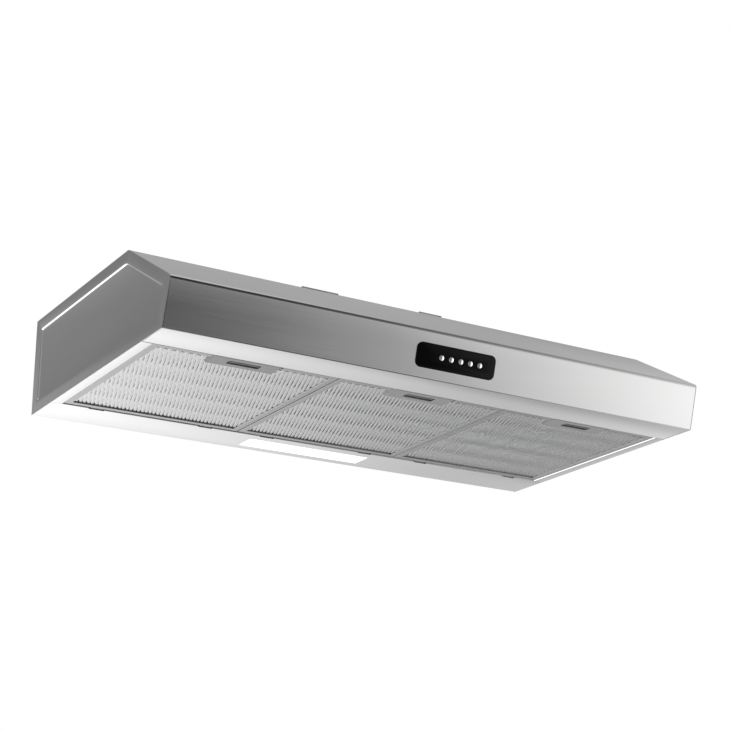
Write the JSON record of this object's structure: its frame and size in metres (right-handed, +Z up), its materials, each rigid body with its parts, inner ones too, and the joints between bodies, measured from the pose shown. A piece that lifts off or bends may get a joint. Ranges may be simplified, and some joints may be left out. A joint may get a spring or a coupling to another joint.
{
  "type": "under cabinet range hood",
  "caption": "Sloped-front under cabinet range hood with hinged grease filters on sprung latches, a blower with a rectangular duct collar and damper, a light bar and push buttons.",
  "frame": {"origin": "middle of the rear edge of the flat top, where the hood meets the wall and the cabinet's underside", "axes": "+X along the width to the right of someone facing the front, +Y towards the wall (the front faces -Y), +Z up"},
  "size_m": [0.9, 0.4791, 0.1908],
  "materials": {
    "stainless": "brushed stainless steel, grain along the width",
    "plated_steel": "zinc plated sheet steel",
    "light_lens": "frosted lens",
    "white_plastic": "matte white plastic",
    "board": "white solder mask with light emitters",
    "black_gloss": "gloss black plastic",
    "dark_plastic": "dark moulded plastic",
    "button_cap": "satin metallised cap",
    "filter_frame": "rolled aluminium, satin",
    "filter_mesh": "layers of expanded aluminium mesh",
    "latch_grey": "grey moulded plastic",
    "ground_steel": "ground steel",
    "lamination": "stacked steel laminations, varnished",
    "bronze": "sintered bronze",
    "ivory_plastic": "ivory moulded plastic",
    "wire_jacket": "taped wire jacket",
    "zinc": "zinc plated",
    "brass_screws": "brass"
  },
  "bodies": {
    "hood": {"hood_shell": "stainless", "side_panel_left": "stainless", "side_panel_right": "stainless", "back_panel": "plated_steel", "knockout_cover": "plated_steel", "rear_strip": "stainless", "led_lens": "light_lens", "led_tray": "white_plastic", "led_board": "board", "led_driver": "white_plastic", "control_fascia": "black_gloss", "switch_block": "dark_plastic", "scroll_wrap": "plated_steel", "scroll_end_left": "plated_steel", "scroll_end_right": "plated_steel", "motor_can": "plated_steel", "motor_cap": "plated_steel", "motor_stator": "lamination", "bearing_front": "bronze", "bearing_rear": "bronze", "motor_spider": "plated_steel", "duct_collar": "plated_steel", "capacitor": "white_plastic", "capacitor_clip": "plated_steel", "terminal_box": "plated_steel", "terminal_cover": "plated_steel", "terminal_block": "ivory_plastic", "cable_bushing": "dark_plastic", "wiring_loom": "wire_jacket", "knockout_screws": "zinc", "control_screws": "zinc", "motor_screws": "zinc", "blower_screws": "zinc", "terminal_screws": "brass_screws"},
    "rotor": {"impeller": "plated_steel", "rotor_shaft": "ground_steel", "motor_rotor": "lamination"},
    "damper_front": {"damper_flap_front": "plated_steel"},
    "damper_rear": {"damper_flap_rear": "plated_steel"},
    "push_button_1": {"button_1": "button_cap"},
    "push_button_2": {"button_2": "button_cap"},
    "push_button_3": {"button_3": "button_cap"},
    "push_button_4": {"button_4": "button_cap"},
    "push_button_5": {"button_5": "button_cap"},
    "filter_1": {"filter_frame_1": "filter_frame", "filter_mesh_1": "filter_mesh", "latch_plate_1": "latch_grey", "latch_spring_1": "zinc"},
    "latch_1": {"latch_slide_1": "latch_grey"},
    "filter_2": {"filter_frame_2": "filter_frame", "filter_mesh_2": "filter_mesh", "latch_plate_2": "latch_grey", "latch_spring_2": "zinc"},
    "latch_2": {"latch_slide_2": "latch_grey"},
    "filter_3": {"filter_frame_3": "filter_frame", "filter_mesh_3": "filter_mesh", "latch_plate_3": "latch_grey", "latch_spring_3": "zinc"},
    "latch_3": {"latch_slide_3": "latch_grey"}
  },
  "joints": [
    {"name": "impeller_spin", "type": "hinge", "parent": "hood", "child": "rotor", "pos_m": [0, -0.1712, -0.0577], "axis": [1, 0, 0], "continuous": true},
    {"name": "damper_front_swing", "type": "hinge", "parent": "hood", "child": "damper_front", "pos_m": [0, -0.2145, 0.003], "axis": [-1, 0, 0], "range_deg": [0, 80]},
    {"name": "damper_rear_swing", "type": "hinge", "parent": "hood", "child": "damper_rear", "pos_m": [0, -0.2085, 0.003], "axis": [1, 0, 0], "range_deg": [0, 80]},
    {"name": "button_1_press", "type": "slide", "parent": "hood", "child": "push_button_1", "axis": [0, 0.9582, 0.286], "range_m": [0, 0.0025], "stiffness_N_per_m": 300, "springref_m": -0.002},
    {"name": "button_2_press", "type": "slide", "parent": "hood", "child": "push_button_2", "axis": [0, 0.9582, 0.286], "range_m": [0, 0.0025], "stiffness_N_per_m": 300, "springref_m": -0.002},
    {"name": "button_3_press", "type": "slide", "parent": "hood", "child": "push_button_3", "axis": [0, 0.9582, 0.286], "range_m": [0, 0.0025], "stiffness_N_per_m": 300, "springref_m": -0.002},
    {"name": "button_4_press", "type": "slide", "parent": "hood", "child": "push_button_4", "axis": [0, 0.9582, 0.286], "range_m": [0, 0.0025], "stiffness_N_per_m": 300, "springref_m": -0.002},
    {"name": "button_5_press", "type": "slide", "parent": "hood", "child": "push_button_5", "axis": [0, 0.9582, 0.286], "range_m": [0, 0.0025], "stiffness_N_per_m": 300, "springref_m": -0.002},
    {"name": "filter_1_swing", "type": "hinge", "parent": "hood", "child": "filter_1", "pos_m": [-0.288, -0.0795, -0.1482], "axis": [1, 0, 0], "range_deg": [0, 50]},
    {"name": "latch_1_slide", "type": "slide", "parent": "filter_1", "child": "latch_1", "axis": [0, 1, 0], "range_m": [0, 0.0035], "stiffness_N_per_m": 400, "springref_m": -0.003, "deforming": ["latch_spring_1"]},
    {"name": "filter_2_swing", "type": "hinge", "parent": "hood", "child": "filter_2", "pos_m": [0, -0.0795, -0.1482], "axis": [1, 0, 0], "range_deg": [0, 50]},
    {"name": "latch_2_slide", "type": "slide", "parent": "filter_2", "child": "latch_2", "axis": [0, 1, 0], "range_m": [0, 0.0035], "stiffness_N_per_m": 400, "springref_m": -0.003, "deforming": ["latch_spring_2"]},
    {"name": "filter_3_swing", "type": "hinge", "parent": "hood", "child": "filter_3", "pos_m": [0.288, -0.0795, -0.1482], "axis": [1, 0, 0], "range_deg": [0, 50]},
    {"name": "latch_3_slide", "type": "slide", "parent": "filter_3", "child": "latch_3", "axis": [0, 1, 0], "range_m": [0, 0.0035], "stiffness_N_per_m": 400, "springref_m": -0.003, "deforming": ["latch_spring_3"]}
  ]
}
